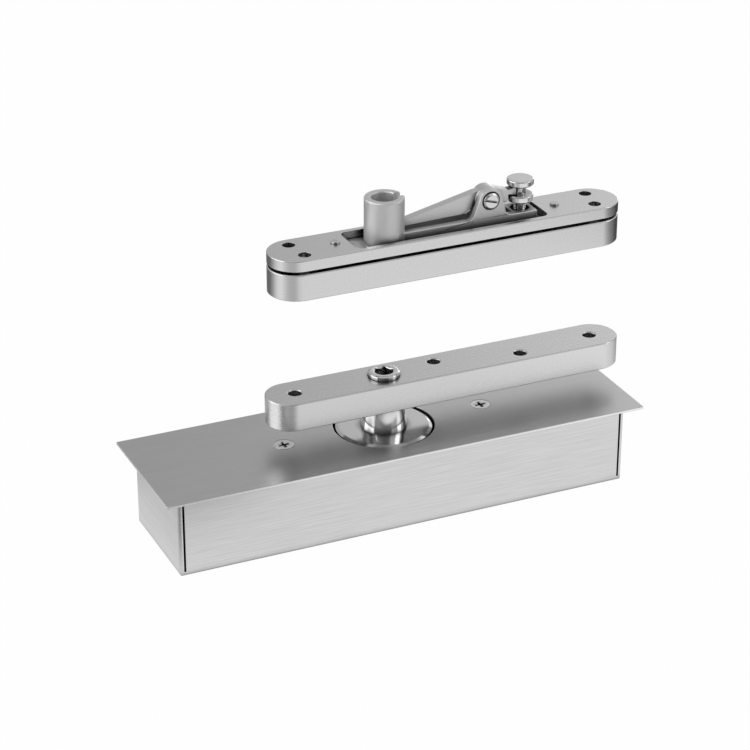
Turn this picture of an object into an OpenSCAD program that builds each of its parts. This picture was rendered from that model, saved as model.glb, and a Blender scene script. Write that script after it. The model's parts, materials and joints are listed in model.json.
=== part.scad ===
// Centre-hung door pivot set: a floor pivot in its sheet-steel case, the arm that is
// screwed under the door, and the top pivot with a pin that a walking beam lifts.
// +X runs along the door, +Y towards the back, +Z up. The origin lies on the pivot
// axis, on the underside of the case. All lengths are in millimetres.

/* [Case and cover plate] */
// Length of the case along the door
case_l = 274.5; // [220:0.5:320]
// Width of the case
case_w = 69; // [66:0.5:90]
// Height of the case from its underside to the cover plate
case_h = 47.7; // [46:0.1:56]
// Thickness of the case's sheet
case_t = 1.5; // [1:0.1:2.5]
// Outside radius of the case's folded edges
case_bend_r = 2.4; // [1.6:0.1:4]
// Width of the open seam beside each upright edge
seam_w = 1.1; // [0.6:0.1:2]
// Length of the cover plate
plate_l = 291.2; // [280:0.2:340]
// Width of the cover plate
plate_w = 83; // [76:0.5:110]
// Thickness of the cover plate
plate_t = 1.5; // [1:0.1:3]
// Distance of each cover screw from the pivot axis
cover_screw_x = 61.2; // [54:0.2:64]
// Head diameter of the cover screws
cover_head_d = 12; // [9:0.1:12.4]
// Thread diameter of the cover screws
cover_thread_d = 6; // [4:0.5:7]

/* [Spindle] */
// Diameter of the polished flange in the cover plate
flange_d = 55; // [40:0.5:60]
// Thickness of the flange
flange_t = 4; // [3:0.1:5]
// Width of the open ring between flange and cover plate
flange_gap = 1.6; // [0.6:0.1:3]
// Chamfer round the flange
flange_chamfer = 1.8; // [0.5:0.1:2.5]
// Diameter of the post at the flange
post_base_d = 26.6; // [20:0.1:30]
// Diameter of the post under the arm
post_top_d = 22.8; // [18:0.1:26]
// Side of the square stub that turns the arm
stub_w = 14.6; // [13.6:0.1:15.6]
// Height of the square stub
stub_h = 5.4; // [3:0.1:6.4]
// Diameter of the journal in the bush
journal_d = 25; // [22:0.5:27]
// Diameter of the pilot through the ball bearing
pilot_d = 20; // [14:0.5:21]

/* [Bearing housing] */
// Bore of the housing for the bush and the ball bearing
seat_d = 35.2; // [33:0.1:37]
// Outside diameter of the housing's hub
hub_d = 52; // [48:0.5:56]
// Height of the hub's top above the underside of the case
hub_top = 40; // [38.5:0.1:41]
// Length of the housing's base
base_l = 150; // [144:1:180]
// Width of the housing's base
base_w = 56; // [52:0.5:60]
// Thickness of the housing's base
base_t = 8; // [6:0.5:10]
// Space that the levelling screws leave under the base
base_lift = 2; // [1:0.1:3]
// Number of balls in the thrust bearing
ball_count = 14; // [8:1:15]
// Diameter of the balls
ball_d = 5; // [4:0.1:5.2]
// Thickness of each bearing race
race_t = 3; // [2.5:0.1:3.5]

/* [Bottom arm] */
// Width of the arm
arm_w = 28.6; // [26:0.1:36]
// Thickness of the arm
arm_t = 16.6; // [15:0.1:22]
// Reach of the arm's short end from the axis
arm_back = 71.2; // [60:0.2:90]
// Reach of the arm's long end from the axis
arm_front = 147.6; // [140:0.2:200]
// Space between the cover plate and the arm
arm_gap = 14.3; // [8:0.1:20]
// Diameter of the arm's four fixing holes
arm_hole_d = 7.6; // [5:0.1:9]
// Countersink diameter under the arm
arm_csk_d = 14; // [10:0.1:16]
// Place along the arm of the hole in the short end
arm_hole_1 = -54.2; // [-56:0.2:-30]
// Place along the arm of the first hole in the long end
arm_hole_2 = 33.4; // [24:0.2:50]
// Place along the arm of the second hole in the long end
arm_hole_3 = 83.4; // [65:0.2:110]
// Place along the arm of the hole at the tip
arm_hole_4 = 131.2; // [120:0.2:132]
// Stagger of the two middle holes off the centre line
arm_stagger = 5.1; // [0:0.1:6]
// Head diameter of the arm screw
arm_head_d = 18; // [16:0.1:20]
// Head height of the arm screw
arm_head_h = 12; // [10:0.1:13]
// Height of the arm screw's head above the arm
arm_head_proud = 3.1; // [0:0.1:5]
// Thread diameter of the arm screw
arm_thread_d = 12; // [8:0.5:12]
// Size of the arm screw's six-sided socket across its flats
arm_socket_af = 10; // [8:0.1:11]

/* [Top pivot plates] */
// Width of the two top plates
top_w = 31.8; // [30:0.1:40]
// Reach of the top plates' short end from the axis
top_back = 68.5; // [64:0.1:90]
// Reach of the top plates' long end from the axis
top_front = 144.2; // [140:0.2:200]
// Height of the space for the door between the arm and the top pivot
door_space = 61.9; // [20:0.1:300]
// Thickness of the lower plate, which is let into the door
door_t = 15.4; // [15:0.1:20]
// Running gap between the two top plates
run_gap = 1.5; // [1.2:0.1:3]
// Thickness of the upper plate, which is let into the frame
frame_t = 6.8; // [5.6:0.1:9]
// Place along the plate of the left pair of fixing holes
pair_left = -52; // [-54:0.2:-44]
// Place along the plate of the right pair of fixing holes
pair_right = 128; // [122:0.2:129.4]
// Distance of the paired holes from the centre line
pair_y = 8; // [5:0.1:8.4]
// How far the front holes stand nearer to the middle than the back ones
pair_skew = 2.6; // [0:0.1:4]
// Diameter of the paired fixing holes
frame_hole_d = 7.2; // [5:0.1:8]
// Countersink diameter under the upper plate
frame_csk_d = 12.6; // [9:0.1:13]
// Left end of the opening in the upper plate
open_left = -21.6; // [-23:0.2:-16]
// Right end of the opening in the upper plate
open_right = 95.8; // [93:0.2:97]
// Width of the opening in the upper plate
open_w = 24.8; // [23:0.1:25.2]
// Corner radius of the opening
open_r = 4; // [1:0.1:6]

/* [Walking beam mechanism] */
// Outside diameter of the tube that guides the pin
tube_d = 22.4; // [20:0.1:22.6]
// Height of the tube above the upper plate
tube_h = 22.6; // [20:0.1:28]
// Diameter of the pivot pin
pin_d = 14.6; // [10:0.1:15]
// How far the pin reaches into the lower plate
pin_reach = 10.5; // [8:0.1:11]
// Travel of the pin when it is drawn up
pin_travel = 12; // [10:0.1:12]
// Thickness of the walking beam
beam_w = 4.8; // [4:0.1:5.4]
// Width of the hub round the beam's pivot
hub_w = 7; // [6:0.1:7.2]
// Place of the beam's pivot along the plate
beam_pivot_x = 61.4; // [58:0.2:63]
// Height of the beam's pivot above the upper plate
beam_pivot_h = 12.4; // [11.6:0.1:14]
// Height of the beam's tip above the upper plate
beam_tip_h = 3.8; // [3:0.1:5]
// Radius of the beam's tip in the pin
beam_tip_r = 2.4; // [1.8:0.1:2.8]
// Radius of the hub round the beam's pivot
beam_hub_r = 7; // [5:0.1:7.4]
// Outside width of the channel that holds the beam
channel_w = 15.4; // [14.6:0.1:17]
// Height of the channel's walls above the upper plate
channel_h = 2.3; // [1:0.1:3]
// Right end of the channel
channel_end = 90.4; // [89:0.2:91.4]
// Thickness of the mechanism's floor and tongues
floor_t = 2.2; // [1.6:0.1:3]
// Radius of the near ear round the beam's pivot screw
ear_r = 7.1; // [5.8:0.1:8]
// Reach of the near ear's foot to the left of the pivot
ear_foot_left = 11.2; // [9.5:0.1:13]
// Reach of the near ear's foot to the right of the pivot
ear_foot_right = 10; // [9.5:0.1:12]
// Radius of the far ear
far_ear_r = 4; // [3.4:0.1:6]
// Head diameter of the beam's pivot screw
beam_head_d = 9.4; // [7:0.1:11]
// Diameter of the beam's pivot screw
beam_screw_d = 5; // [4:0.1:6]
// Turn of the slot in the beam's pivot screw, in degrees
beam_slot_turn = -16; // [-90:1:90]
// Distance of the left tongue screw from the axis
tongue_left = -29.2; // [-30:0.2:-28]
// Distance of the right tongue screw from the axis
tongue_right = 105.2; // [103:0.2:106.4]
// Thread diameter of the tongue screws
tongue_thread_d = 4.8; // [4:0.1:5.5]
// Place of the adjusting screw along the plate
spool_x = 83.2; // [83.2:0.1:84.2]
// Diameter of the adjusting screw's two discs
spool_d = 15.2; // [13:0.1:16]
// Thickness of the adjusting screw's top disc
spool_top_t = 4.1; // [2:0.1:4.4]
// Height of the groove between the discs
spool_groove = 5; // [4:0.1:5.4]
// Thickness of the adjusting screw's lower disc
spool_low_t = 4; // [2:0.1:4.1]
// Diameter of the groove's bottom, where it is widest
spool_waist_d = 7.2; // [5:0.1:7.4]
// Thread diameter of the adjusting screw
spool_thread_d = 7; // [6:0.1:9]

/* [Hidden] */
$fn = 64;
fit = 0.05;          // radial clearance of turning and sliding fits
seat_gap = 0.3;      // space between pieces that lie against curved faces
edge = 0.5;          // small chamfer on the machined bars
over = 1;            // how far a cutter reaches past a face
skin = 0.01;         // overlap that keeps joined or cut faces from lying in one plane
hole_play = 0.6;     // play in the diameter of a clearance hole
tap_play = 2 * fit;  // play in the diameter of a tapped hole, whose thread is left plain

// Heights of the main faces
plate_top = case_h + plate_t;
arm_z = plate_top + arm_gap;
arm_top = arm_z + arm_t;
door_z = arm_top + door_space;
door_top = door_z + door_t;
frame_z = door_top + run_gap;
frame_top = frame_z + frame_t;

// Bearing stack, from the hub's floor up
base_z = case_t + base_lift;
hub_floor_t = 9;                                // floor of the hub under the lower race
hub_floor = base_z + hub_floor_t;
ball_gap = 3;                                  // space between the two races
race_up_z = hub_floor + race_t + ball_gap;
shoulder_z = race_up_z + race_t;
ball_z = hub_floor + race_t + ball_gap / 2;
ball_pitch_r = (pilot_d + seat_d) / 4;
pilot_z = base_z + 4;                          // lower end of the spindle
bush_z = shoulder_z + 3.5;
cap_t = 3;
cap_d = hub_d - 1;
cap_hole_d = seat_d - 1.4;
cap_pitch_r = (seat_d + cap_d) / 4;
cap_thread_d = 3.5;
cap_head_d = 6.4;
cap_tap = 9;                                   // depth of the cap screws' tapped holes
cap_screw_l = cap_t + cap_tap - 1;
cap_recess_w = 0.9;
race_play = 0.6;                               // room of each race where it turns free
cage_w = 5.6;                                  // width of the cage's ring
cage_t = 1.5;
lip_t = 1.2;                                   // thickness of the seal's lip
flange_z = plate_top - flange_t;
spindle_tap = 8;                               // tapped hole starts this far over the shoulder
arm_screw_z = shoulder_z + spindle_tap + 2;    // lower end of the arm screw

// Fasteners of the housing
foot_inset = 7;                                // levelling screw's axis from the base's edges
foot_x = base_l / 2 - foot_inset;
foot_y = base_w / 2 - foot_inset;
foot_d = 8;
stud_x = 42;
stud_inset = 9;                                // stud's axis from the base's long edges
stud_y = base_w / 2 - stud_inset;
stud_d = 6;
stud_washer_t = 1.6;
nut_af = 10;
nut_h = 5;
stud_tip = 2;                                  // length of each stud above its nut
washer_d = 12;
foot_key = 4.6;                                // size of the levelling screws' sockets
foot_key_h = 2.5;
foot_point = 1.5;                              // height of their pointed ends
cover_post_d = 16;
cover_screw_l = 14;
cover_recess_w = 1.5;
cover_tap = 16;                                // depth of the tapped holes in the posts
base_corner = 6;                               // corner radius of the housing's base
rib_w = 8;
rib_drop = 6;                                  // how far the ribs end below hub and posts
rib_root = seat_d / 2 + 4;                     // distance from the axis at which they start
plate_corner = 0.6;                            // corner radius of the cover plate
seam_foot = 0.6;                               // height of the seams' ends above the bend

// Top pivot
tube_top = frame_top + tube_h;
tube_lip = 0.6;        // chamfer round the tube's mouth, inside and outside
pin_low = door_top - pin_reach;
tip_z = frame_top + beam_tip_h;
open_pivot = 0.3;      // room in the pin for the beam's tip, whose path is an arc
pin_slot_r = beam_tip_r + open_pivot;
pin_slot_w = beam_w + 0.6;
pin_top = tube_top - pin_travel;               // flush with the tube when drawn up
bore_d = pin_d + 2 * fit;
pivot_z = frame_top + beam_pivot_h;
channel_top = frame_top + channel_h;
hub_play = 0.2;                                // play beside the beam's hub
channel_in = hub_w + 2 * hub_play;
slot_w = beam_w + 0.6;                         // slot of the tube
floor_top = frame_z + floor_t;
tongue_w = open_w - 0.4;
tongue_reach = 6.4;                            // from a tongue's screw to its end
bush_wall = 2.7;
bush_flange_over = 9.4;                        // flange's diameter over the bore's
bush_flange_d = bore_d + bush_flange_over;
bush_flange_t = 1;
bush_low = pin_low - 1.5;
washer_t = run_gap - 0.2;
flare = 13;                                    // slope of the pin slot's mouth
far_foot = 8;                                  // reach of the far ear's feet
ear_fillet = 3.5;                              // fillets at the feet of the ears
beam_slot_w = 1.3;                             // width of the slot in the beam's screw
beam_rise = 7.9;                               // beam's height over the plate beside the tube
beam_fall = 3.8;                               // height of its lower edge there

// Arm: play round its screw, and the broken edges of its holes
head_play = 0.4;
hole_break = 0.6;
socket_depth = 6;
head_chamfer = 1;

// Adjusting screw: the pad of the beam stands in the middle of its groove
pad_r = spool_groove / 2 - 0.15;
pad_x = spool_x - 4.5;
lever_end = spool_x - spool_d / 2 - 0.6;       // end of the beam's deep part
pad_z = pivot_z + 1.05;
groove_z = pad_z - spool_groove / 2;
spool_low_z = groove_z - spool_low_t;
spool_top_z = groove_z + spool_groove + spool_top_t;
lever_left = beam_pivot_x;
lever_right = pad_x - beam_pivot_x;
spool_travel = pin_travel * lever_right / lever_left;
spool_end = frame_z + spool_travel + 0.3;
boss_cup_d = spool_thread_d + 3.4;

// A round-cornered outline, drawn with true arcs
module round_rect(l, w, r) {
    square([l - 2 * r, w], center = true);
    square([l, w - 2 * r], center = true);
    for (x = [-1, 1], y = [-1, 1])
        translate([x * (l / 2 - r), y * (w / 2 - r)]) circle(r = r);
}

// A flat bar with round ends from x0 to x1, with its edges broken by c
module round_bar(x0, x1, w, t, c) {
    r = w / 2;
    translate([x0 + r, 0, 0]) rotate([90, 0, 90]) linear_extrude(x1 - x0 - w)
        polygon([[-r + c, 0], [r - c, 0], [r, c], [r, t - c], [r - c, t],
                 [-r + c, t], [-r, t - c], [-r, c]]);
    for (x = [x0 + r, x1 - r])
        translate([x, 0, 0]) rotate_extrude()
            polygon([[0, 0], [r - c, 0], [r, c], [r, t - c], [r - c, t], [0, t]]);
}

// A through hole of diameter d and length t, with a countersink of diameter head at the
// bottom; turn it over for one at the top
module sunk_hole(d, head, t) {
    translate([0, 0, -over]) cylinder(d = d, h = t + 2 * over);
    translate([0, 0, -skin]) cylinder(d1 = head, d2 = d, h = (head - d) / 2);
}

// Cutter for a countersink with play, whose wide end lies at z = 0
module sink(d, head) {
    depth = (head - d) / 2;
    translate([0, 0, -depth]) cylinder(d1 = d + 2 * fit, d2 = head + 2 * fit, h = depth + skin);
}

// A flat-headed screw that fills such a countersink, its head at z = 0, its shank below
module flat_screw(d, head, length, recess) {
    cone = (head - d) / 2;
    difference() {
        union() {
            translate([0, 0, -cone]) cylinder(d1 = d, d2 = head, h = cone);
            translate([0, 0, -length]) cylinder(d = d, h = length - cone / 2);
        }
        for (a = [0, 90]) rotate(a)
            translate([-head * 0.27, -recess / 2, -head * 0.14]) cube([head * 0.54, recess, head]);
    }
}

// A flat ring
module ring(outer, inner, t) {
    difference() {
        cylinder(d = outer, h = t);
        translate([0, 0, -over]) cylinder(d = inner, h = t + 2 * over);
    }
}

// Places of the fixing holes
arm_holes = [[arm_hole_1, 0], [arm_hole_2, arm_stagger], [arm_hole_3, -arm_stagger],
             [arm_hole_4, 0]];
pair_holes = [[pair_left - pair_skew / 2, pair_y], [pair_left + pair_skew / 2, -pair_y],
              [pair_right + pair_skew / 2, pair_y], [pair_right - pair_skew / 2, -pair_y]];
door_hole_y = 5;
door_hole_d = 6.4;
door_csk_d = 12;
door_holes = [[pair_left, 0], [arm_hole_2 + 6, door_hole_y], [arm_hole_3, -door_hole_y],
              [pair_right, 0]];

// Folded sheet-steel box that is set into the floor, open at the top
module cement_case() {
    color("silver") difference() {
        intersection() {
            linear_extrude(case_h) round_rect(case_l, case_w, case_bend_r);
            rotate([90, 0, 90]) linear_extrude(case_l + 2 * over, center = true)
                translate([0, case_h]) round_rect(case_w, 2 * case_h, case_bend_r);
            rotate([90, 0, 0]) linear_extrude(case_w + 2 * over, center = true)
                translate([0, case_h]) round_rect(case_l, 2 * case_h, case_bend_r);
        }
        translate([0, 0, case_t]) linear_extrude(case_h)
            round_rect(case_l - 2 * case_t, case_w - 2 * case_t, case_bend_r - case_t);
        for (x = [-1, 1])
            translate([x * (case_l / 2 - case_bend_r - seam_w / 2) - seam_w / 2, -case_w / 2 - over,
                       case_bend_r + seam_foot])
                cube([seam_w, case_w + 2 * over, case_h]);
        for (x = [-stud_x, stud_x], y = [-stud_y, stud_y])
            translate([x, y, -over]) cylinder(d = stud_d + 2 * fit, h = case_t + 2 * over);
    }
}

// Finished plate that covers the case, with a round opening for the flange
module cover_plate() {
    color("lightgray") difference() {
        translate([0, 0, case_h]) linear_extrude(plate_t) round_rect(plate_l, plate_w, plate_corner);
        translate([0, 0, case_h - over])
            cylinder(d = flange_d + 2 * flange_gap, h = plate_t + 2 * over);
        for (x = [-cover_screw_x, cover_screw_x]) translate([x, 0, 0]) {
            translate([0, 0, case_h - over])
                cylinder(d = cover_thread_d + hole_play, h = plate_t + 2 * over);
            translate([0, 0, plate_top]) sink(cover_thread_d, cover_head_d);
        }
    }
}

// Two flat-headed screws that hold the cover plate to the posts
module cover_screws() {
    color("gainsboro") for (x = [-cover_screw_x, cover_screw_x])
        translate([x, 0, plate_top])
            flat_screw(cover_thread_d, cover_head_d, cover_screw_l, cover_recess_w);
}

// Cast housing on the case's floor: base, hub with the bearing seats, ribs and posts
module bearing_housing() {
    color("dimgray") difference() {
        union() {
            translate([0, 0, base_z]) linear_extrude(base_t) round_rect(base_l, base_w, base_corner);
            translate([0, 0, base_z]) cylinder(d = hub_d, h = hub_top - base_z);
            for (x = [-cover_screw_x, cover_screw_x])
                translate([x, 0, base_z]) cylinder(d = cover_post_d, h = case_h - base_z);
            for (a = [0, 180]) rotate(a)
                translate([0, rib_w / 2, 0]) rotate([90, 0, 0]) linear_extrude(rib_w)
                    polygon([[rib_root, base_z + 1], [cover_screw_x, base_z + 1],
                             [cover_screw_x, case_h - rib_drop],
                             [rib_root, hub_top - rib_drop]]);
        }
        translate([0, 0, hub_floor]) cylinder(d = seat_d, h = case_h);
        translate([0, 0, pilot_z - 0.5]) cylinder(d = pilot_d + 2 * fit, h = case_h);
        for (x = [-cover_screw_x, cover_screw_x]) {
            translate([x, 0, case_h - cover_tap])
                cylinder(d = cover_thread_d + tap_play, h = cover_tap + over);
            translate([x, 0, plate_top]) sink(cover_thread_d, cover_head_d);
        }
        for (x = [-foot_x, foot_x], y = [-foot_y, foot_y])
            translate([x, y, base_z - over]) cylinder(d = foot_d + tap_play, h = base_t + 2 * over);
        for (x = [-stud_x, stud_x], y = [-stud_y, stud_y])
            translate([x, y, base_z - over])
                cylinder(d = stud_d + hole_play, h = base_t + 2 * over);
        for (a = [45:90:315]) rotate(a) translate([cap_pitch_r, 0, hub_top - cap_tap])
            cylinder(d = cap_thread_d + tap_play, h = cap_tap + over);
    }
}

// Four socket set screws that level the housing on the case's floor
module levelling_screws() {
    color("dimgray") for (x = [-foot_x, foot_x], y = [-foot_y, foot_y])
        translate([x, y, case_t]) difference() {
            union() {
                cylinder(d1 = foot_d - 2 * foot_point, d2 = foot_d, h = foot_point);
                translate([0, 0, foot_point]) cylinder(d = foot_d, h = base_lift + base_t);
            }
            translate([0, 0, foot_point + base_lift + base_t - foot_key_h])
                cylinder(d = foot_key, h = foot_key_h + over, $fn = 6);
        }
}

// Four studs that are clinched into the case's floor
module clamp_studs() {
    color("silver") for (x = [-stud_x, stud_x], y = [-stud_y, stud_y])
        translate([x, y, 0]) union() {
            cylinder(d = stud_d, h = base_z + base_t + stud_washer_t + nut_h + stud_tip);
            translate([0, 0, case_t]) cylinder(d = stud_d + 4, h = base_lift - 0.4);
        }
}

// Washers under the nuts
module clamp_washers() {
    color("silver") for (x = [-stud_x, stud_x], y = [-stud_y, stud_y])
        translate([x, y, base_z + base_t]) ring(washer_d, stud_d + hole_play, stud_washer_t);
}

// Nuts that clamp the housing down
module clamp_nuts() {
    color("silver") for (x = [-stud_x, stud_x], y = [-stud_y, stud_y])
        translate([x, y, base_z + base_t + stud_washer_t]) difference() {
            cylinder(d = nut_af / cos(30), h = nut_h, $fn = 6);
            translate([0, 0, -over]) cylinder(d = stud_d + tap_play, h = nut_h + 2 * over);
        }
}

// Groove in which the balls run
module ball_groove() {
    translate([0, 0, ball_z]) rotate_extrude()
        translate([ball_pitch_r, 0]) circle(d = ball_d + 2 * fit);
}

// Lower race of the thrust bearing, at rest on the hub's floor
module thrust_race_lower() {
    color("gray") difference() {
        translate([0, 0, hub_floor]) ring(seat_d - 2 * fit, pilot_d + race_play, race_t);
        ball_groove();
    }
}

// Ring of balls that carries the door's weight
module thrust_balls() {
    color("white") for (i = [0:ball_count - 1]) rotate(i * 360 / ball_count)
        translate([ball_pitch_r, 0, ball_z]) sphere(d = ball_d, $fn = 32);
}

// Cage that keeps the balls apart
module ball_cage() {
    color("goldenrod") difference() {
        translate([0, 0, ball_z - cage_t / 2])
            ring(2 * ball_pitch_r + cage_w, 2 * ball_pitch_r - cage_w, cage_t);
        for (i = [0:ball_count - 1]) rotate(i * 360 / ball_count)
            translate([ball_pitch_r, 0, ball_z - cage_t])
                cylinder(d = ball_d + 2 * fit, h = 2 * cage_t);
    }
}

// Upper race of the thrust bearing, which turns with the spindle
module thrust_race_upper() {
    color("gray") difference() {
        translate([0, 0, race_up_z]) ring(seat_d - race_play, pilot_d + 2 * fit, race_t);
        ball_groove();
    }
}

// Bronze bush that guides the spindle's journal
module radial_bush() {
    color("peru") translate([0, 0, bush_z])
        ring(seat_d - 2 * fit, journal_d + 2 * fit, hub_top - bush_z);
}

// Ring that keeps the bush in the hub
module bearing_cap() {
    color("gray") difference() {
        translate([0, 0, hub_top]) ring(cap_d, cap_hole_d, cap_t);
        for (a = [45:90:315]) rotate(a) translate([cap_pitch_r, 0, hub_top]) {
            translate([0, 0, -over]) cylinder(d = cap_thread_d + hole_play, h = cap_t + 2 * over);
            translate([0, 0, cap_t]) sink(cap_thread_d, cap_head_d);
        }
    }
}

// Four small screws of the bearing cap
module cap_screws() {
    color("silver") for (a = [45:90:315]) rotate(a)
        translate([cap_pitch_r, 0, hub_top + cap_t])
            flat_screw(cap_thread_d, cap_head_d, cap_screw_l, cap_recess_w);
}

// Rubber ring with a thin lip under the flange
module seal_ring() {
    inner = journal_d / 2 + 0.3;
    outer = cap_hole_d / 2 - 0.1;
    top = flange_z - hub_top - seat_gap;
    color("black") translate([0, 0, hub_top]) rotate_extrude()
        polygon([[inner, 0], [outer, 0], [outer, cap_t - 0.5], [inner + 2.6, cap_t - 0.5],
                 [inner + 3.2 + lip_t, top], [inner + 3.2, top], [inner, cap_t]]);
}

// Spindle turned from one bar: pilot, journal, flange, tapered post and square stub
module spindle() {
    color("white") difference() {
        union() {
            rotate_extrude() polygon([
                [0, pilot_z], [pilot_d / 2 - 1, pilot_z], [pilot_d / 2, pilot_z + 1],
                [pilot_d / 2, shoulder_z], [journal_d / 2, shoulder_z],
                [journal_d / 2, flange_z], [flange_d / 2, flange_z],
                [flange_d / 2, plate_top - flange_chamfer / 2],
                [flange_d / 2 - flange_chamfer, plate_top], [post_base_d / 2, plate_top],
                [post_top_d / 2, arm_z], [0, arm_z]]);
            translate([-stub_w / 2, -stub_w / 2, arm_z - skin])
                cube([stub_w, stub_w, stub_h + skin]);
        }
        translate([0, 0, shoulder_z + spindle_tap])
            cylinder(d = arm_thread_d + tap_play, h = arm_top);
    }
}

// Seat of the arm screw's head above the underside of the arm
arm_seat_z = arm_top + arm_head_proud - arm_head_h;

// Bar that is let into the bottom of the door and turns with the spindle
module bottom_arm() {
    color("silver") difference() {
        translate([0, 0, arm_z]) round_bar(-arm_back, arm_front, arm_w, arm_t, edge);
        translate([0, 0, arm_seat_z]) cylinder(d = arm_head_d + head_play, h = arm_t);
        translate([0, 0, arm_z]) cylinder(d = arm_thread_d + 2 * head_play, h = arm_t);
        translate([-stub_w / 2 - fit, -stub_w / 2 - fit, arm_z - over])
            cube([stub_w + 2 * fit, stub_w + 2 * fit, over + stub_h + fit]);
        for (p = arm_holes) translate([p[0], p[1], arm_z]) {
            sunk_hole(arm_hole_d, arm_csk_d, arm_t);
            translate([0, 0, arm_t - hole_break])
                cylinder(d1 = arm_hole_d, d2 = arm_hole_d + 2 * hole_break, h = hole_break + skin);
        }
    }
}

// Socket-headed screw that ties the arm down on the spindle
module arm_screw() {
    head_top = arm_seat_z + arm_head_h;
    r = arm_head_d / 2;
    color("white") difference() {
        rotate_extrude() polygon([
            [0, arm_screw_z], [arm_thread_d / 2 - 1, arm_screw_z],
            [arm_thread_d / 2, arm_screw_z + 1], [arm_thread_d / 2, arm_seat_z],
            [r, arm_seat_z], [r, head_top - head_chamfer], [r - head_chamfer, head_top],
            [0, head_top]]);
        translate([0, 0, head_top - socket_depth])
            cylinder(d = arm_socket_af / cos(30), h = socket_depth + over, $fn = 6);
        translate([0, 0, head_top - head_chamfer])
            cylinder(d1 = arm_socket_af, d2 = arm_socket_af + 2 * head_chamfer,
                     h = head_chamfer + skin);
    }
}

// Lower plate of the top pivot, which is let into the top of the door
module door_plate() {
    color("silver") difference() {
        translate([0, 0, door_z]) round_bar(-top_back, top_front, top_w, door_t, edge);
        translate([0, 0, bush_low]) cylinder(d = bore_d + 2 * bush_wall + 2 * fit, h = door_t);
        translate([0, 0, door_top - bush_flange_t])
            cylinder(d = bush_flange_d + 2 * fit, h = door_t);
        for (p = door_holes) translate([p[0], p[1], door_top]) rotate([180, 0, 0])
            sunk_hole(door_hole_d, door_csk_d, door_t);
    }
}

// Flanged bronze bush in which the pin turns
module door_bush() {
    color("peru") difference() {
        union() {
            translate([0, 0, bush_low])
                cylinder(d = bore_d + 2 * bush_wall, h = door_top - bush_low);
            translate([0, 0, door_top - bush_flange_t])
                cylinder(d = bush_flange_d, h = bush_flange_t);
        }
        translate([0, 0, bush_low - over]) cylinder(d = bore_d, h = door_t + 2 * over);
    }
}

// Plastic washer that keeps the two plates apart
module wear_washer() {
    color("ivory") translate([0, 0, door_top]) ring(bush_flange_d, pin_d + hole_play, washer_t);
}

// Outline of one tongue's pocket, from the opening to past its screw
module tongue_outline(w, x0, x1) {
    translate([(x0 + x1) / 2, 0]) round_rect(x1 - x0, w, 3);
}

// Upper plate of the top pivot, which is let into the head of the door frame
module frame_plate() {
    tongue_l = tongue_left - tongue_reach;
    tongue_r = tongue_right + tongue_reach;
    color("lightgray") difference() {
        translate([0, 0, frame_z]) round_bar(-top_back, top_front, top_w, frame_t, edge);
        translate([(open_left + open_right) / 2, 0, frame_z - over])
            linear_extrude(frame_t + 2 * over)
                round_rect(open_right - open_left, open_w, open_r);
        translate([0, 0, frame_z - over]) linear_extrude(floor_t + over)
            tongue_outline(tongue_w + 0.4, tongue_l - 0.2, tongue_r + 0.2);
        for (x = [tongue_left, tongue_right])
            translate([x, 0, frame_z]) cylinder(d = tongue_thread_d + 2 * fit, h = frame_t + over);
        for (p = pair_holes) translate([p[0], p[1], frame_z])
            sunk_hole(frame_hole_d, frame_csk_d, frame_t);
    }
}

// Direction of an ear's side, which runs from its foot at the given reach to the circle
function side_angle(r, reach, drop) = atan2(drop, reach) + asin(r / norm([reach, drop]));

// Left half of an ear's side view: straight side from the foot to the circle, and fillet
module ear_side(r, reach) {
    drop = pivot_z - channel_top;
    angle = side_angle(r, reach, drop);
    run = sqrt(reach * reach + drop * drop - r * r);
    tangent = ear_fillet / tan((180 - angle) / 2);
    polygon([[0, -drop - 2], [-reach, -drop - 2], [-reach, -drop],
             [-reach + run * cos(angle), -drop + run * sin(angle)], [0, 0]]);
    difference() {
        polygon([[-reach, -drop], [-reach - tangent, -drop], [-reach - tangent, ear_fillet - drop],
                 [-reach + tangent * cos(angle), -drop + tangent * sin(angle)]]);
        translate([-reach - tangent, ear_fillet - drop]) circle(r = ear_fillet);
    }
}

// Side view of an ear of radius r with its feet at the given reaches
module ear_outline(r, left, right) {
    circle(r = r);
    ear_side(r, left);
    mirror([1, 0]) ear_side(r, right);
}

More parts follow.
